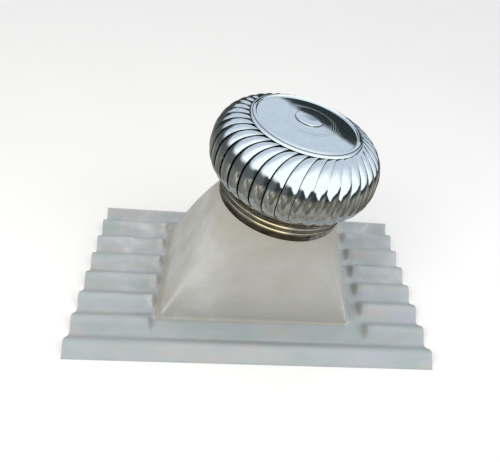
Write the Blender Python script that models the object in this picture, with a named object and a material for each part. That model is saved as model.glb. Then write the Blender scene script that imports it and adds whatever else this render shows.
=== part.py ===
"""Wind-driven roof ventilator: a vaned rotor on a round neck, over a hood on a corrugated sheet.

Metres, +Z up. The origin is the middle of the base sheet, on the plane that its valleys rest on.
X runs along the corrugations and up the roof. The neck and the rotor share one axis, which leans
towards +X so that it stands upright on a sloping roof. Lengths called "height" on the turbine are
measured along that axis from the sheet's plane.
"""

import math

import bmesh
import bpy
from mathutils import Matrix, Vector

UP = Vector((0.0, 0.0, 1.0))
SIDEWAYS = Vector((1.0, 0.0, 0.0))

# Running and seating gaps
TOUCH_GAP = 0.0003
RUN_GAP = 0.004

# Corrugated base sheet
SHEET_LENGTH = 1.820
PITCH = 0.146
PITCHES = 7.4
PROFILE_DEPTH = 0.048
SHEET_WALL = 0.003
STEPS_PER_PITCH = 10
SHEET_WIDTH = PITCH * PITCHES

# Flat pad in the sheet: it interrupts whole corrugations and each cut end is closed by a slope
PAD_FIRST_VALLEY = 1
PAD_CORRUGATIONS = 6
PAD_LEFT_MARGIN = 0.017
PAD_RIGHT_MARGIN = 0.068
CLOSURE_RUN = 0.025

# Hood from a rectangular foot to a round neck
HOOD_WALL = 0.003
FOOT_LENGTH = 1.008
FOOT_WIDTH = 0.696
FOOT_CENTRE_X = 0.011
FOOT_CORNER = 0.022
FLANGE_WIDTH = 0.034
FLANGE_TO_CLOSURE = 0.003
FLANGE_BEND = 0.004
RIDGE_FADE = 2.1
FOOT_FLARE = 1.15
HOOD_LEVELS = 8
CORNER_STEPS = 11

# Turbine axis
AXIS_X = 0.008
AXIS_Y = 0.070
LEAN = math.radians(9.0)

# Neck collar
COLLAR_RADIUS = 0.3105
COLLAR_WALL = 0.0015
COLLAR_FOOT = 0.567
BEAD_HEIGHTS = (0.608, 0.636)
BEAD_RISE = 0.0036
BEAD_HALF_WIDTH = 0.008
SHOULDER_HEIGHT = 0.649
SHOULDER_DROP = 0.007
NECK_BEND_BELOW_COLLAR = 0.020
NECK_OVERLAP = 0.032
TURNED_STEPS = 48

# Rotor outline
VANE_COUNT = 40
ROTOR_RADIUS = 0.399
BELLY_HEIGHT = 0.809
RIM_RADIUS = 0.258
RIM_HEIGHT = 0.987
RIM_SLOPE = math.radians(28.9)
RIM_HANDLE = 0.0448
SHOULDER_HANDLE = 0.1455
VANE_FOOT_RADIUS = 0.302
VANE_FOOT_HEIGHT = 0.683
FOOT_SLOPE = math.radians(19.4)
FOOT_HANDLE = 0.064
BELLY_HANDLE = 0.067

# Vanes
VANE_WALL = 0.0008
VANE_OVERLAP = 0.20
VANE_END_DEPTH = 0.004
VANE_BELLY_DEPTH = 0.018
VANE_CROWN = 0.0075
CROWN_START = 0.10
CROWN_RUN = 0.15
VANE_TAB = 0.015
TOP_SWEEP = math.radians(-13.0)
TOP_SWEEP_EASE = 2.5
FOOT_SWEEP = math.radians(6.0)
TAB_SHARE = 0.08
SHOULDER_SHARE = 0.52
VANE_STEPS_ALONG = 11
VANE_STEPS_ACROSS = 4

# Rotor rings and top plate
RING_WALL = 0.0012
RIM_FLANGE = 0.017
FOOT_FLANGE_SHARE = 0.175
RING_LAP = 0.0038
PLATE_WALL = 0.0012
PLATE_LIP = 0.004
PLATE_LIP_GAP = 0.0012
PLATE_LIP_WIDTH = 0.024
GROOVE_WIDTH = 0.006
GROOVE_DEPTH = 0.007
DOME_HEIGHT = 0.018
DOME_STEPS = 4
SEAT_RADIUS = 0.052

# Shaft, hub and centre cap
SHAFT_RADIUS = 0.0075
STUB_RADIUS = 0.006
SHAFT_STEPS = 24
HUB_RADIUS = 0.050
HUB_THICKNESS = 0.004
HUB_SLEEVE_RADIUS = 0.016
HUB_SLEEVE_LENGTH = 0.036
NUT_FLATS = 0.018
NUT_HEIGHT = 0.006
STUB_PAST_NUT = 0.001
CAP_RADIUS = 0.064
CAP_RISE = 0.010
CAP_WALL = 0.001
CAP_OUTLINE = ((1.0, 0.0), (0.93, 0.45), (0.6, 0.8), (0.0, 1.0))

# Bearings, housing and bracket
BEARING_RADIUS = 0.0175
BEARING_HEIGHT = 0.011
HOUSING_RADIUS = 0.0215
HOUSING_LENGTH = 0.110
SEAT_SHOULDER = 0.0035
BELOW_COLLAR_RIM = 0.004
THRUST_COLLAR_RADIUS = 0.013
THRUST_COLLAR_HEIGHT = 0.010
SHAFT_TAIL = 0.012
ARM_COUNT = 3
FIRST_ARM = math.radians(-98.0)
ARM_WIDTH = 0.030
ARM_WALL = 0.004
ARM_FOOT = 0.034
BOLT_RADIUS = 0.004
BOLT_HEAD_FLATS = 0.013
BOLT_HEAD_HEIGHT = 0.0055
BOLT_BELOW_BEAD = 0.022


def clear_scene():
    for obj in list(bpy.data.objects):
        bpy.data.objects.remove(obj, do_unlink=True)


def material(name, colour, roughness, metallic):
    made = bpy.data.materials.new(name)
    made.use_nodes = True
    shader = made.node_tree.nodes["Principled BSDF"]
    shader.inputs["Base Color"].default_value = (*colour, 1.0)
    shader.inputs["Roughness"].default_value = roughness
    shader.inputs["Metallic"].default_value = metallic
    return made


def add_mesh(name, bm, finish):
    """A shaded mesh from a bmesh, which it frees."""
    mesh = bpy.data.meshes.new(name)
    bm.to_mesh(mesh)
    bm.free()
    mesh.shade_smooth()
    mesh.set_sharp_from_angle(angle=math.radians(35.0))
    mesh.materials.append(finish)
    return mesh


def add_object(name, mesh, parent=None):
    obj = bpy.data.objects.new(name, mesh)
    bpy.context.scene.collection.objects.link(obj)
    obj.parent = parent
    return obj


def add_wall(obj, thickness):
    """Gives an open surface its wall, on the side away from its normals."""
    wall = obj.modifiers.new("wall", "SOLIDIFY")
    wall.thickness = thickness
    wall.offset = -1.0


def add_cut(obj, cutter):
    cut = obj.modifiers.new("holes", "BOOLEAN")
    cut.operation = "DIFFERENCE"
    cut.solver = "EXACT"
    cut.object = cutter


def blend(start, end, share):
    return start + (end - start) * share


def bore_around(radius, gap, steps=SHAFT_STEPS):
    """Corner radius of a faceted bore whose flats clear a round of this radius by the gap."""
    return (radius + gap) / math.cos(math.pi / steps)


def flat_radius(radius, steps=TURNED_STEPS):
    """Radius of the middles of the flats on a faceted round with corners at this radius."""
    return radius * math.cos(math.pi / steps)


def spun(profile, steps=TURNED_STEPS, closed=False):
    """A bmesh of (radius, height) points turned round Z. Points on the axis are merged there."""
    bm = bmesh.new()
    verts = [bm.verts.new((radius, 0.0, height)) for radius, height in profile]
    pairs = list(zip(verts, verts[1:]))
    if closed:
        pairs.append((verts[-1], verts[0]))
    edges = [bm.edges.new(pair) for pair in pairs]
    bmesh.ops.spin(
        bm,
        geom=verts + edges,
        axis=(0.0, 0.0, 1.0),
        cent=(0.0, 0.0, 0.0),
        angle=2.0 * math.pi,
        steps=steps,
        use_merge=True,
    )
    bmesh.ops.remove_doubles(bm, verts=bm.verts, dist=1e-6)
    bmesh.ops.recalc_face_normals(bm, faces=bm.faces)
    return bm


def turned_solid(name, profile, finish, parent, steps=TURNED_STEPS):
    """A solid turned from a closed outline."""
    mesh = add_mesh(name, spun(profile, steps, closed=True), finish)
    return add_object(name, mesh, parent)


def face_towards(bm, direction):
    """Turns an open surface over if its furthest face in a direction looks away from it."""
    furthest = max(bm.faces, key=lambda face: face.calc_center_median().dot(direction))
    if furthest.normal.dot(direction) < 0.0:
        bmesh.ops.reverse_faces(bm, faces=bm.faces)


def turned_sheet(name, profile, wall, outside, finish, parent):
    """A sheet-metal piece turned from a line on the side that faces this direction."""
    bm = spun(profile)
    face_towards(bm, outside)
    obj = add_object(name, add_mesh(name, bm, finish), parent)
    add_wall(obj, wall)
    return obj


def axis_frame():
    """Position and lean of the turbine axis, at the sheet's plane."""
    return Matrix.Translation((AXIS_X, AXIS_Y, 0.0)) @ Matrix.Rotation(LEAN, 4, "Y")


def add_empty(name):
    empty = bpy.data.objects.new(name, None)
    bpy.context.scene.collection.objects.link(empty)
    empty.location = (AXIS_X, AXIS_Y, 0.0)
    empty.rotation_euler = (0.0, LEAN, 0.0)
    return empty


def from_front(angle):
    """Rotation about the axis that carries +X to this angle, counted from -Y towards +X."""
    return angle - math.pi / 2.0


# Base sheet


def corrugation(y):
    """Height of the wave above its valleys; the front edge is in a valley."""
    phase = 2.0 * math.pi * (y + SHEET_WIDTH / 2.0) / PITCH
    return PROFILE_DEPTH / 2.0 * (1.0 - math.cos(phase))


def pad_edges():
    front = -SHEET_WIDTH / 2.0 + PAD_FIRST_VALLEY * PITCH
    return front, front + PAD_CORRUGATIONS * PITCH


def pad_ends():
    """Left and right ends of the pad, where the slopes that close the corrugations reach it."""
    left = FOOT_CENTRE_X - FOOT_LENGTH / 2.0 - PAD_LEFT_MARGIN
    right = FOOT_CENTRE_X + FOOT_LENGTH / 2.0 + PAD_RIGHT_MARGIN
    return left, right


def pad_surface():
    """Top of the pad: it lies on the hood's flange."""
    return HOOD_WALL + TOUCH_GAP + SHEET_WALL


def sheet_height(x, y):
    wave = SHEET_WALL + corrugation(y)
    front, back = pad_edges()
    if y < front - TOUCH_GAP or y > back + TOUCH_GAP:
        return wave
    left, right = pad_ends()
    share = max(x - right, left - x) / CLOSURE_RUN
    return blend(pad_surface(), wave, min(max(share, 0.0), 1.0))


def opening_edges():
    """Left, right, front and back of the hole that the hood comes up through."""
    half_length = FOOT_LENGTH / 2.0 + TOUCH_GAP
    half_width = FOOT_WIDTH / 2.0 + TOUCH_GAP
    return (
        FOOT_CENTRE_X - half_length,
        FOOT_CENTRE_X + half_length,
        AXIS_Y - half_width,
        AXIS_Y + half_width,
    )


def build_sheet(finish):
    left, right, front, back = opening_edges()
    pad_left, pad_right = pad_ends()
    half_length = SHEET_LENGTH / 2.0
    columns = [
        -half_length,
        pad_left - CLOSURE_RUN,
        pad_left,
        left,
        right,
        pad_right,
        pad_right + CLOSURE_RUN,
        half_length,
    ]
    step = PITCH / STEPS_PER_PITCH
    count = round(SHEET_WIDTH / step)
    waves = [-SHEET_WIDTH / 2.0 + index * SHEET_WIDTH / count for index in range(count + 1)]
    kept = [y for y in waves if min(abs(y - front), abs(y - back)) > step / 3.0]
    rows = sorted(kept + [front, back])

    bm = bmesh.new()
    bmesh.ops.create_grid(bm, x_segments=len(columns) - 1, y_segments=len(rows) - 1, size=1.0)
    for vert in bm.verts:
        x = columns[round((vert.co.x + 1.0) / 2.0 * (len(columns) - 1))]
        y = rows[round((vert.co.y + 1.0) / 2.0 * (len(rows) - 1))]
        vert.co = (x, y, sheet_height(x, y))
    hole = []
    for face in bm.faces:
        middle = face.calc_center_median()
        if left < middle.x < right and front < middle.y < back:
            hole.append(face)
    bmesh.ops.delete(bm, geom=hole, context="FACES")
    bmesh.ops.recalc_face_normals(bm, faces=bm.faces)
    face_towards(bm, UP)
    sheet = add_object("corrugated_sheet", add_mesh("corrugated_sheet", bm, finish))
    add_wall(sheet, SHEET_WALL)


# Hood


def neck_radius():
    """Outer radius of the hood's round neck, which sits inside the collar."""
    return flat_radius(COLLAR_RADIUS - COLLAR_WALL) - TOUCH_GAP


def rounded_ring(half_length, half_width, corner):
    """Points round a rectangle with round corners, which may be as round as a circle."""
    spread = math.pi / 4.0 / (CORNER_STEPS + 1)
    points = []
    for quarter in range(4):
        sign_x = (1.0, -1.0, -1.0, 1.0)[quarter]
        sign_y = (1.0, 1.0, -1.0, -1.0)[quarter]
        for index in range(CORNER_STEPS + 1):
            angle = spread + index * (math.pi / 2.0 - 2.0 * spread) / CORNER_STEPS
            if quarter % 2:
                angle = math.pi / 2.0 - angle
            x = half_length - corner + corner * math.cos(angle)
            y = half_width - corner + corner * math.sin(angle)
            points.append(Vector((sign_x * x, sign_y * y, 0.0)))
    return points


def hood_rings():
    """The hood's outer surface as rings of points, from the flange's edge to the neck's top."""
    radius = neck_radius()
    foot_centre = Vector((FOOT_CENTRE_X, AXIS_Y, HOOD_WALL))
    bend_height = COLLAR_FOOT - NECK_BEND_BELOW_COLLAR
    neck_centre = axis_frame() @ Vector((0.0, 0.0, bend_height))
    half_length = FOOT_LENGTH / 2.0
    half_width = FOOT_WIDTH / 2.0

    pad_left, pad_right = pad_ends()
    flange_left = max(pad_left + FLANGE_TO_CLOSURE, FOOT_CENTRE_X - half_length - FLANGE_WIDTH)
    flange_right = min(pad_right - FLANGE_TO_CLOSURE, FOOT_CENTRE_X + half_length + FLANGE_WIDTH)
    flange = rounded_ring(
        (flange_right - flange_left) / 2.0, half_width + FLANGE_WIDTH, FOOT_CORNER
    )
    flange_centre = Vector(((flange_left + flange_right) / 2.0, AXIS_Y, HOOD_WALL))
    bend = rounded_ring(
        half_length + FLANGE_BEND, half_width + FLANGE_BEND, FOOT_CORNER + FLANGE_BEND
    )
    rings = [
        [flange_centre + point for point in flange],
        [foot_centre + point for point in bend],
    ]
    for level in range(HOOD_LEVELS):
        share = level / (HOOD_LEVELS - 1)
        drawn_in = 1.0 - (1.0 - share) ** FOOT_FLARE
        ring = rounded_ring(
            blend(half_length, radius, drawn_in),
            blend(half_width, radius, drawn_in),
            blend(FOOT_CORNER, radius, share**RIDGE_FADE),
        )
        turn = Matrix.Rotation(LEAN * share, 3, "Y")
        centre = foot_centre.lerp(neck_centre, share)
        rings.append([centre + turn @ point for point in ring])
    top_centre = axis_frame() @ Vector((0.0, 0.0, COLLAR_FOOT + NECK_OVERLAP))
    turn = Matrix.Rotation(LEAN, 3, "Y")
    rings.append([top_centre + turn @ point for point in rounded_ring(radius, radius, radius)])
    return rings


def build_hood(finish, bolt_holes):
    rings = hood_rings()
    bm = bmesh.new()
    ring_verts = bmesh.ops.create_circle(bm, segments=len(rings[0]), radius=1.0)["verts"]
    edges = list(bm.edges)
    for vert, point in zip(ring_verts, rings[0]):
        vert.co = point
    last_ring = rings[0]
    for ring in rings[1:]:
        made = bmesh.ops.extrude_edge_only(bm, edges=edges)["geom"]
        edges = [item for item in made if isinstance(item, bmesh.types.BMEdge)]
        edges = [edge for edge in edges if len(edge.link_faces) == 1]
        follow_ring(made, last_ring, ring)
        last_ring = ring
    bmesh.ops.recalc_face_normals(bm, faces=bm.faces)
    face_towards(bm, UP - SIDEWAYS)
    hood = add_object("throat_hood", add_mesh("throat_hood", bm, finish))
    add_wall(hood, HOOD_WALL)
    add_cut(hood, bolt_holes)


def follow_ring(made, old_ring, new_ring):
    """Moves freshly extruded points from the ring that they copy to the next one."""
    for item in made:
        if isinstance(item, bmesh.types.BMVert):
            nearest = min(range(len(old_ring)), key=lambda index: (item.co - old_ring[index]).length)
            item.co = new_ring[nearest]


# Neck collar, bracket and bearings


def collar_line():
    """The collar's outer line, from its foot up over two beads and in to the upstand."""
    line = [(COLLAR_RADIUS, COLLAR_FOOT)]
    for height in BEAD_HEIGHTS:
        line.append((COLLAR_RADIUS, height - BEAD_HALF_WIDTH))
        line.append((COLLAR_RADIUS + BEAD_RISE, height - BEAD_HALF_WIDTH / 2.0))
        line.append((COLLAR_RADIUS + BEAD_RISE, height + BEAD_HALF_WIDTH / 2.0))
        line.append((COLLAR_RADIUS, height + BEAD_HALF_WIDTH))
    line.append((COLLAR_RADIUS, SHOULDER_HEIGHT))
    line.append((upstand_radius(), SHOULDER_HEIGHT + SHOULDER_DROP))
    line.append((upstand_radius(), VANE_FOOT_HEIGHT + RUN_GAP))
    return line


def upstand_radius():
    """Outer radius of the collar's upper edge, which keeps rain out inside the rotor's ring."""
    return foot_ring_radius() - RING_WALL - RUN_GAP


def build_collar(finish, frame, bolt_holes):
    collar = turned_sheet("neck_collar", collar_line(), COLLAR_WALL, SIDEWAYS, finish, frame)
    add_cut(collar, bolt_holes)


def housing_foot():
    return COLLAR_FOOT + BELOW_COLLAR_RIM


def build_housing(finish, frame):
    foot = housing_foot()
    top = foot + HOUSING_LENGTH
    seat = bore_around(BEARING_RADIUS, TOUCH_GAP)
    shoulder = bore_around(BEARING_RADIUS - SEAT_SHOULDER, 0.0)
    depth = BEARING_HEIGHT + TOUCH_GAP
    outline = [
        (HOUSING_RADIUS, foot),
        (HOUSING_RADIUS, top),
        (seat, top),
        (seat, top - depth),
        (shoulder, top - depth),
        (shoulder, foot + depth),
        (seat, foot + depth),
        (seat, foot),
    ]
    turned_solid("bearing_housing", outline, finish, frame, SHAFT_STEPS)


def build_bearing(name, foot, finish, frame):
    bore = bore_around(SHAFT_RADIUS, TOUCH_GAP)
    outline = [
        (bore, foot),
        (BEARING_RADIUS, foot),
        (BEARING_RADIUS, foot + BEARING_HEIGHT),
        (bore, foot + BEARING_HEIGHT),
    ]
    turned_solid(name, outline, finish, frame, SHAFT_STEPS)


def bolt_height():
    return BEAD_HEIGHTS[0] - BOLT_BELOW_BEAD


def arm_face_radius():
    """Radius of the flat outer face of an arm's foot, inside the round neck."""
    inside = flat_radius(neck_radius() - HOOD_WALL, 4 * (CORNER_STEPS + 1)) - TOUCH_GAP
    return math.sqrt(inside**2 - (ARM_WIDTH / 2.0) ** 2) - TOUCH_GAP


def build_arm(name, angle, finish, frame, bolt_holes):
    """A flat bar from the housing to the neck, with its end turned down as a foot."""
    arm_height = bolt_height() + ARM_FOOT / 2.0
    near = HOUSING_RADIUS + TOUCH_GAP
    far = arm_face_radius()
    line = [(near, arm_height), (far, arm_height), (far, arm_height - ARM_FOOT)]

    bm = bmesh.new()
    verts = [bm.verts.new((radius, -ARM_WIDTH / 2.0, height)) for radius, height in line]
    edges = [bm.edges.new(pair) for pair in zip(verts, verts[1:])]
    made = bmesh.ops.extrude_edge_only(bm, edges=edges)["geom"]
    moved = [item for item in made if isinstance(item, bmesh.types.BMVert)]
    bmesh.ops.translate(bm, verts=moved, vec=(0.0, ARM_WIDTH, 0.0))
    bmesh.ops.recalc_face_normals(bm, faces=bm.faces)
    face_towards(bm, UP)
    arm = add_object(name, add_mesh(name, bm, finish), frame)
    arm.rotation_euler.z = from_front(angle)
    add_wall(arm, ARM_WALL)
    arm.modifiers["wall"].use_even_offset = True
    add_cut(arm, bolt_holes)


def bolt_mesh(finish):
    """A hexagon-headed bolt lying along X, with its shank towards the axis."""
    outside = COLLAR_RADIUS + TOUCH_GAP
    inside = arm_face_radius() - ARM_WALL
    head_corner = BOLT_HEAD_FLATS / 2.0 / math.cos(math.pi / 6.0)
    outline = [
        (0.0, outside + BOLT_HEAD_HEIGHT),
        (head_corner, outside + BOLT_HEAD_HEIGHT),
        (head_corner, outside),
        (BOLT_RADIUS, outside),
        (BOLT_RADIUS, inside),
        (0.0, inside),
    ]
    bm = spun(outline, 12)
    for vert in bm.verts:
        if vert.co.xy.length > head_corner - TOUCH_GAP:
            turn = math.atan2(vert.co.y, vert.co.x) % (math.pi / 3.0) - math.pi / 6.0
            share = math.cos(math.pi / 6.0) / math.cos(turn)
            vert.co.x *= share
            vert.co.y *= share
    bmesh.ops.rotate(bm, verts=bm.verts, matrix=Matrix.Rotation(math.pi / 2.0, 3, "Y"))
    return add_mesh("bracket_bolt", bm, finish)


def arm_angles():
    return [FIRST_ARM + index * 2.0 * math.pi / ARM_COUNT for index in range(ARM_COUNT)]


def build_bolts(finish, frame):
    mesh = bolt_mesh(finish)
    for number, angle in enumerate(arm_angles(), start=1):
        bolt = add_object(f"bracket_bolt_{number}", mesh, frame)
        bolt.location = (0.0, 0.0, bolt_height())
        bolt.rotation_euler.z = from_front(angle)


def bolt_hole_cutter(frame):
    """One hidden cutter that holds every bolt's hole."""
    bm = bmesh.new()
    reach = COLLAR_RADIUS + BOLT_HEAD_HEIGHT
    depth = reach - arm_face_radius() + 2.0 * ARM_WALL
    for angle in arm_angles():
        made = bmesh.ops.create_cone(
            bm,
            cap_ends=True,
            segments=12,
            radius1=bore_around(BOLT_RADIUS, TOUCH_GAP, 12),
            radius2=bore_around(BOLT_RADIUS, TOUCH_GAP, 12),
            depth=depth,
        )["verts"]
        place = (
            Matrix.Rotation(from_front(angle), 4, "Z")
            @ Matrix.Translation((reach - depth / 2.0, 0.0, bolt_height()))
            @ Matrix.Rotation(math.pi / 2.0, 4, "Y")
        )
        bmesh.ops.transform(bm, matrix=place, verts=made)
    mesh = bpy.data.meshes.new("bolt_holes")
    bm.to_mesh(mesh)
    bm.free()
    cutter = add_object("bolt_holes", mesh, frame)
    cutter.hide_render = True
    cutter.display_type = "WIRE"
    return cutter


# Rotor


def bezier(points, share):
    """A point on a cubic curve given by four (radius, height) points."""
    a, b, c, d = [Vector(point) for point in points]
    rest = 1.0 - share
    return a * rest**3 + b * 3.0 * rest**2 * share + c * 3.0 * rest * share**2 + d * share**3


def rim_point(inwards):
    """A point on the vane line's straight end under the top plate's lip."""
    return Vector(
        (
            RIM_RADIUS - inwards * math.cos(RIM_SLOPE),
            RIM_HEIGHT + inwards * math.sin(RIM_SLOPE),
        )
    )


def foot_point(outwards):
    """A point on the vane line's start at its foot, going out and up."""
    return Vector(
        (
            VANE_FOOT_RADIUS + outwards * math.cos(FOOT_SLOPE),
            VANE_FOOT_HEIGHT + outwards * math.sin(FOOT_SLOPE),
        )
    )


def shoulder_progress(share):
    """0 at the rim to 1 at the belly."""
    return min(max((share - TAB_SHARE) / SHOULDER_SHARE, 0.0), 1.0)


def foot_progress(share):
    """0 at the belly to 1 at the vane's foot."""
    start = TAB_SHARE + SHOULDER_SHARE
    return min(max((share - start) / (1.0 - start), 0.0), 1.0)


def vane_line(share):
    """(radius, height) on the rotor's outline, from the tab under the lip (0) to the foot (1)."""
    belly = (ROTOR_RADIUS, BELLY_HEIGHT)
    if share < TAB_SHARE:
        return rim_point(VANE_TAB * (1.0 - share / TAB_SHARE))
    if share < TAB_SHARE + SHOULDER_SHARE:
        curve = (
            rim_point(0.0),
            rim_point(-RIM_HANDLE),
            (ROTOR_RADIUS, BELLY_HEIGHT + SHOULDER_HANDLE),
            belly,
        )
        return bezier(curve, shoulder_progress(share))
    curve = (
        belly,
        (ROTOR_RADIUS, BELLY_HEIGHT - BELLY_HANDLE),
        foot_point(FOOT_HANDLE),
        foot_point(0.0),
    )
    return bezier(curve, foot_progress(share))


def vane_normal(share):
    """Outward direction of the outline in the (radius, height) plane."""
    step = 0.002
    along = vane_line(min(share + step, 1.0)) - vane_line(max(share - step, 0.0))
    along.normalize()
    return Vector((-along.y, along.x))


def vane_sweep(share):
    """How far a vane has turned round the axis: quickly at the rim, then back towards its foot."""
    top = 1.0 - (1.0 - shoulder_progress(share)) ** TOP_SWEEP_EASE
    return TOP_SWEEP * top + FOOT_SWEEP * foot_progress(share) ** 2


def vane_crown(share):
    """How far a vane's middle bows outwards; it is flat where it is fastened at both ends."""
    near_end = min(share - CROWN_START, 1.0 - share) / CROWN_RUN
    return VANE_CROWN * math.sin(math.pi / 2.0 * min(max(near_end, 0.0), 1.0))


def vane_depth(share):
    """How far a vane's tucked edge lies inside its outer edge."""
    return blend(VANE_END_DEPTH, VANE_BELLY_DEPTH, math.sin(math.pi * share) ** 2)


def vane_point(share, across):
    """A point on the vane; across runs from -1, the tucked edge, to 1, the outer edge."""
    line = vane_line(share)
    inwards = vane_depth(share) * (1.0 - across) / 2.0 - vane_crown(share) * (1.0 - across**2)
    line -= vane_normal(share) * inwards
    half_width = math.pi / VANE_COUNT * (1.0 + VANE_OVERLAP)
    angle = vane_sweep(share) + across * half_width
    return Vector((line.x * math.sin(angle), -line.x * math.cos(angle), line.y))


def vane_mesh(finish):
    bm = bmesh.new()
    bmesh.ops.create_grid(
        bm, x_segments=VANE_STEPS_ACROSS, y_segments=VANE_STEPS_ALONG, size=1.0
    )
    for vert in bm.verts:
        vert.co = vane_point((1.0 - vert.co.y) / 2.0, vert.co.x)
    return add_mesh("vane", bm, finish)


def build_vanes(finish, rotor):
    mesh = vane_mesh(finish)
    for number in range(1, VANE_COUNT + 1):
        vane = add_object(f"vane_{number:02d}", mesh, rotor)
        vane.rotation_euler.z = (number - 1) * 2.0 * math.pi / VANE_COUNT
        add_wall(vane, VANE_WALL)


def ring_offset():
    """How far the rings that carry the vane ends lie inside the rotor's outline."""
    return VANE_END_DEPTH + VANE_WALL + RING_LAP


def foot_ring_radius():
    return VANE_FOOT_RADIUS - RING_LAP


def build_foot_ring(finish, rotor):
    """Band above the collar's shoulder, with a flange that follows the vane feet."""
    inside = Vector((-math.sin(FOOT_SLOPE), math.cos(FOOT_SLOPE))) * ring_offset()
    flange = FOOT_FLANGE_SHARE * (ROTOR_RADIUS - VANE_FOOT_RADIUS)
    outer = foot_point(flange) + inside
    inner = foot_point(0.0) + inside
    bend_height = inner.y + (foot_ring_radius() - inner.x) * math.tan(FOOT_SLOPE)
    line = [
        (outer.x, outer.y),
        (foot_ring_radius(), bend_height),
        (foot_ring_radius(), SHOULDER_HEIGHT + SHOULDER_DROP + TOUCH_GAP),
    ]
    turned_sheet("vane_foot_ring", line, RING_WALL, SIDEWAYS, finish, rotor)


def build_rim_ring(finish, rotor):
    """Conical ring under the vane tabs, inside the top plate's lip."""
    inside = Vector((-math.sin(RIM_SLOPE), -math.cos(RIM_SLOPE))) * ring_offset()
    outer = rim_point(0.0) + inside
    inner = rim_point(RIM_FLANGE) + inside
    below = Vector((0.0, -RING_WALL))
    outline = [outer, inner, inner + below, outer + below]
    turned_solid("vane_rim_ring", [(p.x, p.y) for p in outline], finish, rotor)


def lip_height(radius):
    """Outer surface of the top plate's lip, just above the vane tabs."""
    above = (PLATE_WALL + PLATE_LIP_GAP) / math.cos(RIM_SLOPE)
    return RIM_HEIGHT + (RIM_RADIUS - radius) * math.tan(RIM_SLOPE) + above


def groove_radius():
    return RIM_RADIUS + PLATE_LIP - PLATE_LIP_WIDTH - GROOVE_WIDTH


def groove_height():
    return lip_height(groove_radius() + GROOVE_WIDTH) - GROOVE_DEPTH


def seat_height():
    """Top of the plate's flat middle, where the hub bolts on."""
    return groove_height() + DOME_HEIGHT


def dome_height(radius):
    share = (radius**2 - SEAT_RADIUS**2) / (groove_radius() ** 2 - SEAT_RADIUS**2)
    return seat_height() - DOME_HEIGHT * max(share, 0.0)


def build_top_plate(finish, rotor):
    outside = RIM_RADIUS + PLATE_LIP
    inside = outside - PLATE_LIP_WIDTH
    line = [(outside, lip_height(outside)), (inside, lip_height(inside))]
    for index in range(DOME_STEPS + 1):
        radius = blend(groove_radius(), SEAT_RADIUS, index / DOME_STEPS)
        line.append((radius, dome_height(radius)))
    hole = bore_around(STUB_RADIUS, TOUCH_GAP)
    line.append((hole, seat_height()))
    turned_sheet("top_plate", line, PLATE_WALL, UP, finish, rotor)


def hub_foot():
    return seat_height() - PLATE_WALL - TOUCH_GAP - HUB_SLEEVE_LENGTH


def build_hub(finish, rotor):
    top = seat_height() - PLATE_WALL - TOUCH_GAP
    bore = bore_around(STUB_RADIUS, TOUCH_GAP)
    outline = [
        (bore, top),
        (HUB_RADIUS, top),
        (HUB_RADIUS, top - HUB_THICKNESS),
        (HUB_SLEEVE_RADIUS, top - HUB_THICKNESS),
        (HUB_SLEEVE_RADIUS, hub_foot()),
        (bore, hub_foot()),
    ]
    turned_solid("hub_flange", outline, finish, rotor, SHAFT_STEPS)


def build_shaft(finish, rotor):
    foot = housing_foot() - SHAFT_TAIL
    shoulder = hub_foot() - TOUCH_GAP
    top = seat_height() + NUT_HEIGHT + STUB_PAST_NUT
    outline = [
        (0.0, foot),
        (SHAFT_RADIUS, foot),
        (SHAFT_RADIUS, shoulder),
        (STUB_RADIUS, shoulder),
        (STUB_RADIUS, top),
        (0.0, top),
    ]
    mesh = add_mesh("rotor_shaft", spun(outline, SHAFT_STEPS), finish)
    add_object("rotor_shaft", mesh, rotor)


def build_hub_nut(finish, rotor):
    """Hexagon nut over the shaft's stub, on the top plate."""
    foot = seat_height() + TOUCH_GAP
    corner = NUT_FLATS / 2.0 / math.cos(math.pi / 6.0)
    bore = bore_around(STUB_RADIUS, TOUCH_GAP, 6)
    outline = [
        (bore, foot),
        (corner, foot),
        (corner, foot + NUT_HEIGHT),
        (bore, foot + NUT_HEIGHT),
    ]
    turned_solid("hub_nut", outline, finish, rotor, 6)


def build_thrust_collar(finish, rotor):
    """Collar clamped on the shaft, which carries the rotor on the upper bearing."""
    foot = housing_foot() + HOUSING_LENGTH + TOUCH_GAP
    bore = bore_around(SHAFT_RADIUS, TOUCH_GAP)
    outline = [
        (bore, foot),
        (THRUST_COLLAR_RADIUS, foot),
        (THRUST_COLLAR_RADIUS, foot + THRUST_COLLAR_HEIGHT),
        (bore, foot + THRUST_COLLAR_HEIGHT),
    ]
    turned_solid("thrust_collar", outline, finish, rotor, SHAFT_STEPS)


def build_cap(finish, rotor):
    """Shallow cap over the hub nut."""
    foot = dome_height(CAP_RADIUS) + TOUCH_GAP + CAP_WALL
    line = [(CAP_RADIUS * out, foot + CAP_RISE * up) for out, up in CAP_OUTLINE]
    turned_sheet("centre_cap", line, CAP_WALL, UP, finish, rotor)


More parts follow.
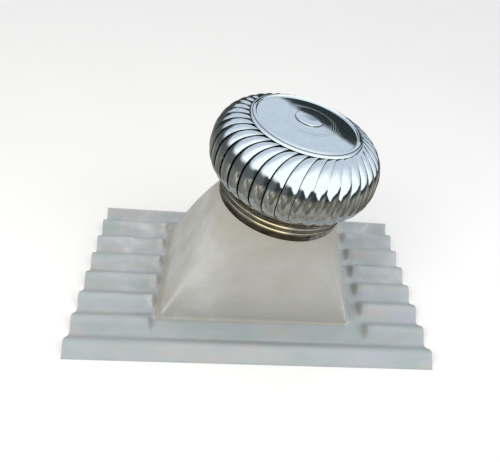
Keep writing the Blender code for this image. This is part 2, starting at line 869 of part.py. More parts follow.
def main():
    clear_scene()
    sheet_resin = material("sheet_resin", (0.60, 0.63, 0.63), 0.55, 0.0)
    hood_resin = material("hood_resin", (0.55, 0.54, 0.50), 0.50, 0.0)
    polished_steel = material("polished_steel", (0.80, 0.80, 0.78), 0.15, 1.0)
    mill_steel = material("mill_steel", (0.62, 0.62, 0.60), 0.35, 1.0)
    zinc_steel = material("zinc_steel", (0.58, 0.59, 0.58), 0.45, 1.0)
    bearing_steel = material("bearing_steel", (0.70, 0.70, 0.70), 0.20, 1.0)

    neck = add_empty("neck_frame")
    rotor = add_empty("rotor_axis")
    bolt_holes = bolt_hole_cutter(neck)

    build_sheet(sheet_resin)
    build_hood(hood_resin, bolt_holes)
    build_collar(polished_steel, neck, bolt_holes)
    build_housing(zinc_steel, neck)
    build_bearing("lower_bearing", housing_foot(), bearing_steel, neck)
    upper_foot = housing_foot() + HOUSING_LENGTH - BEARING_HEIGHT
    build_bearing("upper_bearing", upper_foot, bearing_steel, neck)
    for number, angle in enumerate(arm_angles(), start=1):
        build_arm(f"bracket_arm_{number}", angle, zinc_steel, neck, bolt_holes)
    build_bolts(zinc_steel, neck)

    build_shaft(mill_steel, rotor)
    build_thrust_collar(zinc_steel, rotor)
    build_foot_ring(polished_steel, rotor)
    build_rim_ring(mill_steel, rotor)
    build_vanes(polished_steel, rotor)
    build_top_plate(polished_steel, rotor)
    build_hub(zinc_steel, rotor)
    build_hub_nut(zinc_steel, rotor)
    build_cap(polished_steel, rotor)


main()
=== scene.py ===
"""Looks of a wind-driven roof ventilator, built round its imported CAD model.

Metres, +Z up, in the CAD model's frame. Turbine pieces are shaped upright on the Z axis, with
heights counted along it, and then placed on the leaning axis of the neck.
"""

import math

import bmesh
import bpy
from mathutils import Matrix, Vector


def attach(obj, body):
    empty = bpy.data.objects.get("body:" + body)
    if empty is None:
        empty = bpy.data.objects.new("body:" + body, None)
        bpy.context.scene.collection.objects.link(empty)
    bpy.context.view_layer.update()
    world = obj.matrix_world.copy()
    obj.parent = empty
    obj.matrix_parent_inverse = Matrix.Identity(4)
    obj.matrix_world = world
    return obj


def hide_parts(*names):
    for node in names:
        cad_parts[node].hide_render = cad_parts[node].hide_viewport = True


FULL_TURN = 2.0 * math.pi
MERGE_DISTANCE = 1e-6

# Turbine axis
AXIS_POINT = Vector((0.008, 0.070, 0.0))
LEAN = math.radians(9.0)
AXIS_FRAME = Matrix.Translation(AXIS_POINT) @ Matrix.Rotation(LEAN, 4, "Y")

# Base sheet
SHEET_LENGTH = 1.820
PITCH = 0.146
SHEET_WIDTH = 7.4 * PITCH
PROFILE_DEPTH = 0.048
SHEET_WALL = 0.003
PAD_FRONT = -SHEET_WIDTH / 2.0 + PITCH
PAD_BACK = PAD_FRONT + 6.0 * PITCH
PAD_LEFT = -0.510
PAD_RIGHT = 0.583
PAD_HEIGHT = 0.0063
CLOSURE_RUN = 0.025
CLOSURE_EASE = 0.5
SHEET_STEP = 0.05
CLOSURE_STEP = 0.0032
ROW_STEP = PITCH / 28.0
PAD_FADE = 0.035
# Painted shade beside the hood: with some grime in the left strip, in a halo to its left, and in
# the right closed ends.
STRIP_SHADE_AND_GRIME = 0.7
HALO_SHADE = 0.28
HALO_REACH = 0.12
HALO_FADE = 0.10
FOLD_SHADE = 0.45
# Painted light on the left closures' slopes and painted highlights on their crest edges.
SLOPE_LIGHT = 0.55
CREST_HIGHLIGHT = 0.8
CREST_WIDTH = 0.005
# Painted shadow in the valley by the hood's front-left corner.
WEDGE_SHADOW = 0.6
WEDGE_SHADOW_PLACE = (-0.555, -0.262)
WEDGE_SHADOW_SPREAD = (0.060, 0.018)

# Hood
HOOD_WALL = 0.003
FOOT_LENGTH = 1.008
FOOT_WIDTH = 0.696
FOOT_CENTRE = Vector((0.011, 0.070, HOOD_WALL))
FOOT_CORNER = 0.022
RIDGE_FADE = 2.1
FOOT_FLARE = 1.15
FLANGE_LEFT = -0.507
FLANGE_RIGHT = 0.549
FLANGE_WIDTH = 0.034
NECK_RADIUS = 0.308
NECK_BEND = 0.547
NECK_TOP = 0.599
FILLET_STEPS = 10
FILLET_TOP = 0.05
FILLET_REACH = 0.014
FILLET_SKIN = 0.0005
FILLET_RISE = 1.4
FILLET_END = 0.95
FILLET_FADE = 20.0
# Painted highlight at the fillet's right end, and painted shade along the rest.
FILLET_HIGHLIGHT = 0.5
FILLET_SHADE = 0.30
FILLET_SHADE_LEFT = 0.85
# Painted highlights along the hood's ridges.
RIDGE_HIGHLIGHT = 0.62
RIDGE_WIDTH = 0.014
RIDGE_END = 0.86
# Painted shade on the hood's neck, under the collar.
NECK_SHADE = 0.45
NECK_SHADE_START = 0.72
NECK_SHADE_RUN = 0.28
HOOD_LEVELS = 40
CORNER_STEPS = 23

# Neck collar
COLLAR_RADIUS = 0.3105
COLLAR_WALL = 0.0015
COLLAR_FOOT = 0.567
BEAD_HEIGHTS = (0.608, 0.636)
BEAD_RISE = 0.0045
BEAD_HALF_WIDTH = 0.008
BEAD_STEPS = 6
SHOULDER_HEIGHT = 0.649
SHOULDER_RISE = 0.007
SHOULDER_ROLL = ((0.15, 0.0025), (0.85, 0.0055), (1.0, 0.008))
UPSTAND_RADIUS = 0.293
UPSTAND_TOP = 0.687
LAP_START = math.radians(7.0)
LAP_END = math.radians(22.0)
LAP_RISE = 0.0012
LAP_TUCK = 0.25
LAP_WALL = 0.0008
LAP_STEPS = 16
RIVET_HEIGHTS = (0.578, 0.594, 0.6225)
RIVET_ANGLE = LAP_END - 0.018
RIVET_RADIUS = 0.0028
RIVET_RISE = 0.0013
RIVET_WALL = 0.0006
RIVET_RINGS = 6
RIVET_STEPS = 20
TURNED_STEPS = 144

# Rotor outline
VANE_COUNT = 40
ROTOR_RADIUS = 0.3975
BELLY_HEIGHT = 0.809
RIM_RADIUS = 0.258
RIM_HEIGHT = 0.987
RIM_SLOPE = math.radians(28.9)
RIM_HANDLE = 0.0448
SHOULDER_HANDLE = 0.1455
VANE_FOOT_RADIUS = 0.302
VANE_FOOT_HEIGHT = 0.683
FOOT_SLOPE = math.radians(19.4)
FOOT_HANDLE = 0.064
BELLY_HANDLE = 0.067
VANE_WALL = 0.0008
VANE_OVERLAP = 0.20
VANE_END_DEPTH = 0.004
VANE_BELLY_DEPTH = 0.015
VANE_CROWN = 0.0095
CROWN_START = 0.10
CROWN_RUN = 0.15
VANE_HEM = 0.0010
VANE_TAB = 0.015
TOP_SWEEP = math.radians(-13.0)
TOP_SWEEP_EASE = 2.5
FOOT_SWEEP = math.radians(6.0)
TAB_SHARE = 0.08
SHOULDER_SHARE = 0.52
VANE_STEPS_ALONG = 44
VANE_STEPS_ACROSS = 9
SLOPE_STEP = 0.002

# Rings, plate and cap
RING_WALL = 0.0012
RING_FLANGE = 0.017
RING_LAP = 0.0038
RING_BEND = ((0.003, 0.001), (0.0006, -0.0006), (0.0, -0.003))
RING_HEEL = ((0.0, 0.004), (0.0004, 0.002), (0.0, 0.0))
RUNNING_GAP = 0.0003
PLATE_WALL = 0.0012
PLATE_OUTSIDE = 0.262
PLATE_BORE = 0.0065
LIP_WIDTH = 0.024
LIP_LIFT = 0.0026
LIP_GAP = 0.0012
LIP_TURN = (0.0009, -0.0014)
LIP_FOOT = (0.2, 0.0006)
LIP_STEPS = 8
LIP_CREASE = 0.2505
GROOVE_WIDTH = 0.006
GROOVE_DEPTH = 0.007
GROOVE_STEPS = 6
DOME_HEIGHT = 0.018
DOME_STEPS = 120
SEAT_RADIUS = 0.052
RIPPLE_MIDDLE = 0.124
RIPPLE_REACH = 0.034
RIPPLE_PITCH = 0.0105
RIPPLE_HEIGHT = 0.00022
CAP_RADIUS = 0.064
CAP_RISE = 0.010
CAP_WALL = 0.001
CAP_GAP = 0.0003
CAP_FLATNESS = 4.0
CAP_CORNER = 0.3
CAP_STEPS = 24

# Sizes of patterns, in metres
BLOTCH = 0.16
CLOUD = 0.045
GRAIN = 0.0035
TINT_PATCH = 0.09
HIGHLIGHT_BREAK = 0.02
STRAND = 0.006
STRAND_SHAPE = (0.16, 1.0, 1.0)
DUST_FILM = 0.022
SHEET_WAVE = 0.06
BROKEN_RINGS = 0.11
FLOOR_TONE = 0.8

# Sizes of what the steel mirrors, on a sphere of radius 1
SKYLINE_TEETH = 0.10
GROUND_PATCH = 0.5
SUNLIT_PATCH = 0.2

# Colours of painted light and shade, and of grime
# Painted highlight colour of the gel coat.
HIGHLIGHT_GEL = "#DADBD8"
# Painted dark reflection on the collar's foot, and painted warm glint on its beads.
FOOT_DARK_REFLECTION = "#62584C"
BEAD_GLINT = "#F6DDB0"
# Painted shade and highlight in the tool-mark rings, painted shade in the lip's crease, and a
# painted shadow round the cap.
RING_SHADE = "#A4AEB4"
RING_HIGHLIGHT = "#FAFCFC"
CREASE_SHADE = "#2E3A3E"
CAP_SHADOW = "#39444A"
# Painted dark reflection low on the vanes, and painted shade with some grime in their laps.
BELLY_DARK_REFLECTION = "#A7A69C"
LAP_SHADE_AND_GRIME = "#1F2B27"

# Stage and camera
FLOOR_SIZE = 40.0
PLAIN_LIGHT = 0.86
LOOK_AT = Vector((0.0119, 0.0, 0.2779))
DISTANCE = 2.399
AZIMUTH = math.radians(-6.97)
ELEVATION = math.radians(43.23)
ROLL = math.radians(7.77)
LENS = 32.43
SENSOR = 36.0
SHIFT = (-0.0162, 0.0329)


# Meshes


def blend(start, end, share):
    return start + (end - start) * share


def new_object(name, bm, finish, smooth_angle=35.0):
    """Turns a bmesh into an object, shaded smooth but for sharp folds and open edges."""
    mesh = bpy.data.meshes.new(name)
    bm.edges.index_update()
    borders = [edge.index for edge in bm.edges if edge.is_boundary]
    bm.to_mesh(mesh)
    bm.free()
    mesh.shade_smooth()
    mesh.set_sharp_from_angle(angle=math.radians(smooth_angle))
    for index in borders:
        mesh.edges[index].use_edge_sharp = True
    mesh.materials.append(finish)
    obj = bpy.data.objects.new(name, mesh)
    bpy.context.scene.collection.objects.link(obj)
    return obj


def add_wall(obj, thickness):
    wall = obj.modifiers.new("wall", "SOLIDIFY")
    wall.thickness = thickness
    wall.offset = -1.0


def dress(obj, body, slot, *nodes):
    """Ties a piece to its body and hides the CAD nodes that it stands for; the slot is not used.
    """
    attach(obj, body)
    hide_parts(*nodes)


def spun(profile, closed=False, steps=TURNED_STEPS, start=0.0, angle=FULL_TURN):
    """A bmesh of (radius, height) points turned round Z, with its faces outwards."""
    bm = bmesh.new()
    verts = [bm.verts.new((radius, 0.0, height)) for radius, height in profile]
    pairs = list(zip(verts, verts[1:]))
    if closed:
        pairs.append((verts[-1], verts[0]))
    edges = [bm.edges.new(pair) for pair in pairs]
    if start:
        bmesh.ops.rotate(bm, verts=verts, matrix=Matrix.Rotation(start, 3, "Z"))
    bmesh.ops.spin(
        bm,
        geom=verts + edges,
        axis=(0.0, 0.0, 1.0),
        cent=(0.0, 0.0, 0.0),
        angle=angle,
        steps=steps,
        use_merge=angle == FULL_TURN,
    )
    bmesh.ops.remove_doubles(bm, verts=bm.verts, dist=MERGE_DISTANCE)
    bmesh.ops.recalc_face_normals(bm, faces=bm.faces)
    return bm


def face_up(bm, direction):
    """Turns an open sheet over if the face furthest along a direction looks back at it."""
    face = max(bm.faces, key=lambda item: item.calc_center_median().dot(direction))
    if face.normal.dot(direction) < 0.0:
        bmesh.ops.reverse_faces(bm, faces=bm.faces)


def from_front(angle):
    """Turns an angle counted from -Y towards +X into one counted from +X."""
    return angle - math.pi / 2.0


def stand_on_axis(bm):
    bmesh.ops.transform(bm, matrix=AXIS_FRAME, verts=bm.verts)


def turned_solid(name, profile, finish, body, slot, *nodes):
    """A piece turned from its closed outline."""
    bm = spun(profile, closed=True)
    stand_on_axis(bm)
    obj = new_object(name, bm, finish)
    dress(obj, body, slot, *nodes)


def turned_sheet(name, profile, wall, outwards, finish, body, slot, *nodes):
    """A sheet-metal piece turned from its outer line, with its wall behind it."""
    bm = spun(profile)
    face_up(bm, Vector(outwards))
    stand_on_axis(bm)
    obj = new_object(name, bm, finish)
    add_wall(obj, wall)
    dress(obj, body, slot, *nodes)


# Node trees

ADD = {"operation": "ADD"}
LESS = {"operation": "SUBTRACT"}
TIMES = {"operation": "MULTIPLY"}
LARGER = {"operation": "MAXIMUM"}
UNSIGNED = {"operation": "ABSOLUTE"}
SMOOTH = {"interpolation_type": "SMOOTHSTEP"}
COLOURS = {"data_type": "RGBA"}


def linear(code):
    """An sRGB hex code as linear red, green, blue and alpha."""
    values = [int(code[index : index + 2], 16) / 255.0 for index in (1, 3, 5)]
    return [v / 12.92 if v <= 0.04045 else ((v + 0.055) / 1.055) ** 2.4 for v in values] + [1.0]


def put(tree, kind, settings=None, inputs=(), output=None):
    """Adds a node and gives back its output: the named one, or else the first in use.

    The inputs are a list in the sockets' order or a dictionary of their names. Each is a number,
    a vector, a colour's hex code or another node's output.
    """
    made = tree.nodes.new("ShaderNode" + kind)
    for name, value in (settings or {}).items():
        setattr(made, name, value)
    for name, value in inputs.items() if isinstance(inputs, dict) else enumerate(inputs):
        socket = made.inputs[name]
        if isinstance(value, bpy.types.NodeSocket):
            tree.links.new(value, socket)
        else:
            socket.default_value = linear(value) if isinstance(value, str) else value
    if output:
        return made.outputs[output]
    return next((socket for socket in made.outputs if socket.enabled), None)


def product(tree, first, *others):
    """Shares multiplied together."""
    for other in others:
        first = put(tree, "Math", TIMES, [first, other])
    return first


def layered(tree, colour, *layers):
    """A colour under layers of others, each given as its share and its colour."""
    for share, over in layers:
        colour = put(tree, "Mix", COLOURS, {"Factor": share, "A": colour, "B": over})
    return colour


def new_material(name, fixed):
    """A material, with what is the same all over it set on its shader's own sockets."""
    made = bpy.data.materials.new(name)
    made.use_nodes = True
    tree = made.node_tree
    shader = tree.nodes["Principled BSDF"]
    for key, value in fixed.items():
        shader.inputs[key].default_value = value
    return made, tree, shader


def feed(tree, shader, colour, rough, normal):
    for name, value in (("Base Color", colour), ("Roughness", rough), ("Normal", normal)):
        tree.links.new(value, shader.inputs[name])


def coordinates(tree, on_axis=False):
    """Object coordinates in metres; on_axis counts them from the turbine's leaning axis."""
    source = put(tree, "TexCoord", output="Object")
    if not on_axis:
        return source
    settings = {"vector_type": "TEXTURE"}
    return put(tree, "Mapping", settings, [source, AXIS_POINT, (0.0, LEAN, 0.0)])


def axes(tree, vector):
    """A vector's X, Y and Z."""
    return put(tree, "SeparateXYZ", None, [vector]).node.outputs


# Materials


def laminate(name, pale, deep, grime, tints, strength, painted_lit_side):
    """Weathered gel coat on hand-laid glass fibre.

    Even and chalky, with soft blotches and tints, the print of chopped strands, painted highlights
    on ridges and edges, and painted shade with some grime in folds. The last argument paints one
    side paler where more light falls: it is an axis, where it starts and ends on it, and its
    colour.
    """
    made, tree, shader = new_material(name, {"IOR": 1.5})
    place = coordinates(tree)
    blotch = {"Scale": 1.0 / BLOTCH, "Detail": 3.0, "Roughness": 0.5, "Distortion": 0.4}
    blotch = put(tree, "TexNoise", None, {"Vector": place, **blotch})
    cloud = {"Vector": place, "Scale": 1.0 / CLOUD, "Detail": 4.0, "Roughness": 0.55}
    cloud = put(tree, "TexNoise", None, cloud)
    grain = {"Vector": place, "Scale": 1.0 / GRAIN, "Detail": 3.0, "Roughness": 0.7}
    grain = put(tree, "TexNoise", None, grain)
    tone = put(tree, "Math", ADD, [product(tree, blotch, 0.7), product(tree, cloud, 0.3)])

    # Painted light: one side is made paler along an axis, where more light falls.
    axis, start, end, lit_colour = painted_lit_side
    along = axes(tree, place)[axis]
    colour = layered(
        tree,
        pale,
        (put(tree, "MapRange", SMOOTH, [along, start, end]), lit_colour),
        (put(tree, "MapRange", SMOOTH, [tone, 0.34, 0.66, 0.8, 0.0]), deep),
    )
    for index, tint in enumerate(tints):
        stretch = {"Location": (3.1 * index, 1.7, 0.4), "Scale": (0.4, 1.0, 1.0)}
        stretched = put(tree, "Mapping", None, {"Vector": place, **stretch})
        patch = {"Vector": stretched, "Scale": 1.0 / TINT_PATCH, "Detail": 3.0, "Roughness": 0.55}
        patch = put(tree, "TexNoise", None, patch)
        share = put(tree, "MapRange", SMOOTH, [patch, 0.45, 0.70, 0.0, strength])
        colour = layered(tree, colour, (share, tint))

    # Painted shade, with some grime, read from a point attribute and broken up by cloud noise.
    shade_and_grime = put(tree, "Attribute", {"attribute_name": "grime"}, output="Fac")
    uneven = put(tree, "MapRange", SMOOTH, [cloud, 0.25, 0.60, 0.55, 1.0])
    # Painted highlights on ridges and edges, and painted light on slopes, read from a point
    # attribute and broken up by noise.
    highlighted = put(tree, "Attribute", {"attribute_name": "worn"}, output="Fac")
    highlight_breaks = {"Vector": place, "Scale": 1.0 / HIGHLIGHT_BREAK, "Detail": 3.0, "Roughness": 0.6}
    highlight_breaks = put(tree, "TexNoise", None, highlight_breaks)
    broken_up = put(tree, "MapRange", SMOOTH, [highlight_breaks, 0.30, 0.60, 0.35, 1.0])
    colour = layered(
        tree,
        colour,
        (put(tree, "MapRange", SMOOTH, [grain, 0.62, 0.80, 0.0, 0.3]), deep),
        (product(tree, shade_and_grime, uneven), grime),
        (product(tree, highlighted, broken_up), HIGHLIGHT_GEL),
    )

    # Strands are about 1 mm thick and 50 mm long; here they are drawn 6 mm thick to show.
    strands = 0.0
    for turn in (0.3, 1.4, 2.5):
        lay = {"Vector": place, "Rotation": (0.2, 0.3, turn), "Scale": STRAND_SHAPE}
        lay = put(tree, "Mapping", None, lay)
        fibre = {"Vector": lay, "Scale": 1.0 / STRAND, "Detail": 1.0, "Roughness": 0.4}
        strands = put(tree, "Math", LARGER, [strands, put(tree, "TexNoise", None, fibre)])
    print_through = {"Height": strands, "Distance": 0.0005, "Strength": 0.4}
    normal = put(tree, "Bump", None, print_through)
    unevenness = {"Height": blotch, "Distance": 0.006, "Strength": 0.5, "Normal": normal}
    normal = put(tree, "Bump", None, unevenness)
    rough = put(tree, "MapRange", SMOOTH, [cloud, 0.3, 0.7, 0.42, 0.60])
    feed(tree, shader, colour, rough, normal)
    return made


def collar_painted_light(tree, place, colour):
    """Painted dark reflection at its foot as far as the lap, and painted warm glints on the beads
    in front.
    """
    split = axes(tree, place)
    back = product(tree, split["Y"], -1.0)
    turned = put(tree, "Math", {"operation": "ARCTAN2"}, [split["X"], back])
    beads = 0.0
    for height in BEAD_HEIGHTS:
        away = put(tree, "Math", LESS, [split["Z"], height])
        away = put(tree, "Math", UNSIGNED, [away])
        bead = put(tree, "MapRange", SMOOTH, [away, 0.0075, 0.0035])
        beads = put(tree, "Math", ADD, [beads, bead])
    # Painted dark reflection low on the foot, as far as the lap's end.
    dark_foot = product(
        tree,
        put(tree, "MapRange", SMOOTH, [split["Z"], 0.602, 0.594]),
        put(tree, "MapRange", SMOOTH, [turned, LAP_END + 0.01, LAP_END]),
    )
    # Painted warm glints on the beads, in front only.
    glint = product(
        tree,
        put(tree, "MapRange", SMOOTH, [turned, -0.60, -0.42]),
        put(tree, "MapRange", SMOOTH, [turned, 0.06, -0.06]),
        beads,
    )
    return layered(tree, colour, (dark_foot, FOOT_DARK_REFLECTION), (glint, BEAD_GLINT))


def plate_painted_light(tree, place, colour):
    """Painted highlight and shade in rings along the spinning tool's marks round the middle,
    painted shade in the crease inside the lip, and a painted shadow round the cap's edge.
    """
    split = axes(tree, place)
    squares = [put(tree, "Math", {"operation": "POWER"}, [split[axis], 2.0]) for axis in "XY"]
    radius = put(tree, "Math", ADD, squares)
    radius = put(tree, "Math", {"operation": "SQRT"}, [radius])
    turns = product(tree, radius, FULL_TURN / RIPPLE_PITCH)
    wave = put(tree, "Math", {"operation": "SINE"}, [turns])
    patches = {"Vector": place, "Scale": 1.0 / BROKEN_RINGS, "Detail": 1.0}
    patches = put(tree, "TexNoise", None, patches)
    # Painted highlight and shade alternate along the tool-mark rings, in patches on the front half
    # only.
    band = product(
        tree,
        put(tree, "MapRange", SMOOTH, [radius, RIPPLE_MIDDLE - RIPPLE_REACH, RIPPLE_MIDDLE]),
        put(tree, "MapRange", SMOOTH, [radius, RIPPLE_MIDDLE + RIPPLE_REACH, RIPPLE_MIDDLE]),
        put(tree, "MapRange", SMOOTH, [patches, 0.36, 0.50]),
        put(tree, "MapRange", SMOOTH, [split["Y"], 0.0, -0.05]),
    )
    dark = product(tree, band, put(tree, "MapRange", SMOOTH, [wave, 0.2, 0.9, 0.0, 0.45]))
    pale = product(tree, band, put(tree, "MapRange", SMOOTH, [wave, -0.2, -0.9, 0.0, 0.6]))
    # Painted shade in the crease inside the lip, and a painted shadow round the cap's edge, darker
    # to the right.
    crease, edge = [
        put(tree, "Math", UNSIGNED, [put(tree, "Math", LESS, [radius, line])])
        for line in (LIP_CREASE, CAP_RADIUS)
    ]
    edge = product(
        tree,
        put(tree, "MapRange", SMOOTH, [edge, 0.0042, 0.0022]),
        put(tree, "MapRange", SMOOTH, [split["X"], -0.05, 0.03, 0.3, 0.85]),
    )
    return layered(
        tree,
        colour,
        (dark, RING_SHADE),
        (pale, RING_HIGHLIGHT),
        (put(tree, "MapRange", SMOOTH, [crease, 0.0034, 0.0012, 0.0, 0.8]), CREASE_SHADE),
        (edge, CAP_SHADOW),
    )


def vane_shade_and_grime(tree, place, colour):
    """Painted dark reflection on the vanes' lower part, from just above the belly down, and
    painted shade with some grime in each vane's lap.
    """
    height = axes(tree, place)["Z"]
    across = axes(tree, put(tree, "UVMap", {"uv_map": "UVMap"}))["X"]
    return layered(
        tree,
        colour,
        (put(tree, "MapRange", SMOOTH, [height, 0.86, 0.76, 0.0, 0.35]), BELLY_DARK_REFLECTION),
        (put(tree, "MapRange", SMOOTH, [across, 0.22, 0.10, 0.0, 0.65]), LAP_SHADE_AND_GRIME),
    )


def polished_steel(name, pale="#E6EAEC", dull="#DEE2E4", marks=None, flutes=False):
    """Mirror-polished stainless sheet, slightly wavy from forming, with a thin film of dust."""
    made, tree, shader = new_material(name, {"Metallic": 1.0})
    place = coordinates(tree, on_axis=True)
    film = {"Vector": place, "Scale": 1.0 / DUST_FILM, "Detail": 4.0, "Roughness": 0.6}
    film = put(tree, "TexNoise", None, film)
    colour = layered(tree, pale, (put(tree, "MapRange", SMOOTH, [film, 0.35, 0.70]), dull))
    if marks:
        colour = marks(tree, place, colour)
    wave = {"Vector": place, "Scale": 1.0 / SHEET_WAVE, "Detail": 2.0, "Roughness": 0.45}
    wave = put(tree, "TexNoise", None, wave)
    normal = put(tree, "Bump", None, {"Height": wave, "Distance": 0.004, "Strength": 0.08})
    if flutes:
        # Roll-forming leaves faint flutes along each vane.
        along = {"Vector": put(tree, "UVMap", {"uv_map": "UVMap"}), "Scale": (9.0, 1.3, 1.0)}
        along = put(tree, "Mapping", None, along)
        line = put(tree, "TexNoise", None, {"Vector": along, "Scale": 1.0})
        line = {"Height": line, "Distance": 0.0010, "Strength": 0.35, "Normal": normal}
        normal = put(tree, "Bump", None, line)
    rough = put(tree, "MapRange", SMOOTH, [film, 0.35, 0.75, 0.05, 0.13])
    feed(tree, shader, colour, rough, normal)
    return made


def plain_steel(name, pale, deep, rough, grain):
    """Rolled or plated steel: dull, with a fine mottled grain."""
    made, tree, shader = new_material(name, {"Metallic": 1.0})
    place = coordinates(tree, on_axis=True)
    mottle = {"Vector": place, "Scale": 1.0 / grain, "Detail": 4.0, "Roughness": 0.65}
    mottle = put(tree, "TexNoise", None, mottle)
    feed(
        tree,
        shader,
        layered(tree, deep, (put(tree, "MapRange", SMOOTH, [mottle, 0.35, 0.65]), pale)),
        put(tree, "MapRange", SMOOTH, [mottle, 0.35, 0.65, rough + 0.1, rough - 0.05]),
        put(tree, "Bump", None, {"Height": mottle, "Distance": 0.0003, "Strength": 0.3}),
    )
    return made


# Base sheet


def corrugation(y):
    phase = FULL_TURN * (y + SHEET_WIDTH / 2.0) / PITCH
    return PROFILE_DEPTH / 2.0 * (1.0 - math.cos(phase))


def eased(share):
    share = min(max(share, 0.0), 1.0)
    return share * share * (3.0 - 2.0 * share)


def sheet_height(x, y):
    wave = SHEET_WALL + corrugation(y)
    if y < PAD_FRONT or y > PAD_BACK:
        return wave
    share = min(max(max(x - PAD_RIGHT, PAD_LEFT - x) / CLOSURE_RUN, 0.0), 1.0)
    return blend(PAD_HEIGHT, wave, blend(share, eased(share), CLOSURE_EASE))


def in_pad(y):
    """1 beside the hood, fading to 0 where the pad's front and back rows begin."""
    front = FOOT_CENTRE.y - FOOT_WIDTH / 2.0
    return eased(1.0 - (front - y) / PAD_FADE) if PAD_FRONT < y < PAD_BACK else 0.0


def pad_shade_and_grime(x, y):
    """How much painted shade lies beside the hood: a painted shadow in the valley by its
    front-left corner, painted shade with some grime in a strip and a halo to its left, and painted
    shade in the corrugations' closed ends on the right.
    """
    aside = (x - WEDGE_SHADOW_PLACE[0]) / WEDGE_SHADOW_SPREAD[0]
    ahead = (y - WEDGE_SHADOW_PLACE[1]) / WEDGE_SHADOW_SPREAD[1]
    wedge_shadow = WEDGE_SHADOW * eased(1.6 - math.hypot(aside, ahead))
    if y < PAD_FRONT or y > PAD_BACK:
        return wedge_shadow
    left = 0.0
    if x < FOOT_CENTRE.x:
        strip = STRIP_SHADE_AND_GRIME * eased((x - PAD_LEFT + 0.5 * CLOSURE_RUN) / (0.5 * CLOSURE_RUN))
        halo = HALO_SHADE * eased((x - PAD_LEFT + HALO_REACH) / HALO_FADE)
        left = in_pad(y) * max(strip, halo)
    # Painted shade on the crests at the right closed ends.
    right = 1.0 - abs(x - PAD_RIGHT - 0.5 * CLOSURE_RUN) / (0.6 * CLOSURE_RUN)
    wave = corrugation(y) / PROFILE_DEPTH
    fold = FOLD_SHADE * min(2.5 * right, 1.0) * eased(3.0 * wave - 0.4)
    return max(wedge_shadow, left, fold)


def closure_painted_light(x, y):
    """Painted light on the left closures' slopes, and painted highlights on the crest edges above
    them.
    """
    wave = corrugation(y) / PROFILE_DEPTH
    slope = eased(2.2 - abs(x - PAD_LEFT + 0.5 * CLOSURE_RUN) / (0.4 * CLOSURE_RUN))
    crest = eased(1.5 - abs(x - PAD_LEFT + CLOSURE_RUN) / CREST_WIDTH) * eased(4.0 * wave - 2.8)
    return in_pad(y) * max(SLOPE_LIGHT * slope * eased(2.0 * wave), CREST_HIGHLIGHT * crest)


def spaced(stops, step):
    """Values through every stop, with steps between them no longer than this."""
    values = [stops[0]]
    for start, end in zip(stops, stops[1:]):
        count = max(1, math.ceil((end - start) / step - 1e-6))
        values += [blend(start, end, (index + 1) / count) for index in range(count)]
    return values


def build_sheet(finish):
    half = SHEET_LENGTH / 2.0
    left = FOOT_CENTRE.x - FOOT_LENGTH / 2.0
    right = FOOT_CENTRE.x + FOOT_LENGTH / 2.0
    front = FOOT_CENTRE.y - FOOT_WIDTH / 2.0
    back = FOOT_CENTRE.y + FOOT_WIDTH / 2.0
    columns = sorted(
        spaced([-half, PAD_LEFT - CLOSURE_RUN], SHEET_STEP)[:-1]
        + spaced([PAD_LEFT - CLOSURE_RUN, PAD_LEFT, left], CLOSURE_STEP)[:-1]
        + spaced([left, right, PAD_RIGHT], SHEET_STEP)[:-1]
        + spaced([PAD_RIGHT, PAD_RIGHT + CLOSURE_RUN], CLOSURE_STEP)[:-1]
        + spaced([PAD_RIGHT + CLOSURE_RUN, half], SHEET_STEP)
    )
    edge = SHEET_WIDTH / 2.0
    rows = spaced([-edge, PAD_FRONT, front, back, PAD_BACK, edge], ROW_STEP)
    bm = bmesh.new()
    bmesh.ops.create_grid(bm, x_segments=len(columns) - 1, y_segments=len(rows) - 1, size=1.0)
    for vert in bm.verts:
        x = columns[round((vert.co.x + 1.0) / 2.0 * (len(columns) - 1))]
        y = rows[round((vert.co.y + 1.0) / 2.0 * (len(rows) - 1))]
        vert.co = (x, y, sheet_height(x, y))
    hole = []
    for face in bm.faces:
        middle = face.calc_center_median()
        if left < middle.x < right and front < middle.y < back:
            hole.append(face)
    bmesh.ops.delete(bm, geom=hole, context="FACES")
    # Point attributes: painted shade with some grime, and painted light.
    grime = bm.verts.layers.float.new("grime")
    worn = bm.verts.layers.float.new("worn")
    for vert in bm.verts:
        vert[grime] = pad_shade_and_grime(vert.co.x, vert.co.y)
        vert[worn] = closure_painted_light(vert.co.x, vert.co.y)
    face_up(bm, Vector((0.0, 0.0, 1.0)))
    sheet = new_object("sheet_laminate", bm, finish, smooth_angle=50.0)
    add_wall(sheet, SHEET_WALL)
    dress(sheet, "base", "sheet_resin", "corrugated_sheet")


# Hood


def rounded_ring(half_length, half_width, corner):
    """Points round a rectangle with round corners, which may be as round as a circle."""
    spread = math.pi / 4.0 / (CORNER_STEPS + 1)
    points = []
    for quarter in range(4):
        sign_x = (1.0, -1.0, -1.0, 1.0)[quarter]
        sign_y = (1.0, 1.0, -1.0, -1.0)[quarter]
        for index in range(CORNER_STEPS + 1):
            angle = spread + index * (math.pi / 2.0 - 2.0 * spread) / CORNER_STEPS
            if quarter % 2:
                angle = math.pi / 2.0 - angle
            x = half_length - corner + corner * math.cos(angle)
            y = half_width - corner + corner * math.sin(angle)
            points.append(Vector((sign_x * x, sign_y * y, 0.0)))
    return points


def drawn_ring(share, grown=0.0):
    """The hood's outline at a share of its height, from the foot to the neck."""
    drawn_in = 1.0 - (1.0 - share) ** FOOT_FLARE
    ring = rounded_ring(
        blend(FOOT_LENGTH / 2.0, NECK_RADIUS, drawn_in) + grown,
        blend(FOOT_WIDTH / 2.0, NECK_RADIUS, drawn_in) + grown,
        blend(FOOT_CORNER, NECK_RADIUS, share**RIDGE_FADE) + grown,
    )
    turn = Matrix.Rotation(LEAN * share, 3, "Y")
    return [turn @ point for point in ring]


